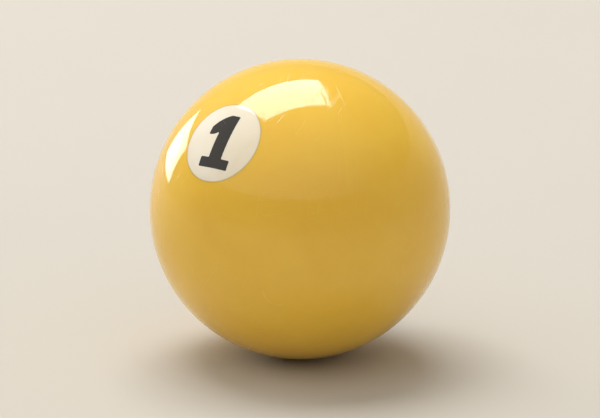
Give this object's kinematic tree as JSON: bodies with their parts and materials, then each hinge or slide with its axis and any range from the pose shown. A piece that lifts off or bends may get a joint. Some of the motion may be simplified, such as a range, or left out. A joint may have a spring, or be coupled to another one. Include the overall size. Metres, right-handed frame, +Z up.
{
  "type": "numbered pool ball",
  "caption": "Solid yellow object ball of cast resin, with a white disc and a black numeral inlaid flush at each end of one axis.",
  "frame": {"origin": "centre of the ball", "axes": "+Z up; the front number looks towards -Y, tilted 37.5 degrees up towards +Z, and the back number looks the opposite way; +X to the right of the front number"},
  "size_m": [0.0572, 0.0572, 0.0572],
  "materials": {
    "yellow_resin": "polished",
    "white_resin": "polished",
    "black_resin": "polished"
  },
  "bodies": {
    "root": {"ball_body": "yellow_resin", "number_disc_front": "white_resin", "number_disc_back": "white_resin", "numeral_front": "black_resin", "numeral_back": "black_resin"}
  },
  "joints": []
}
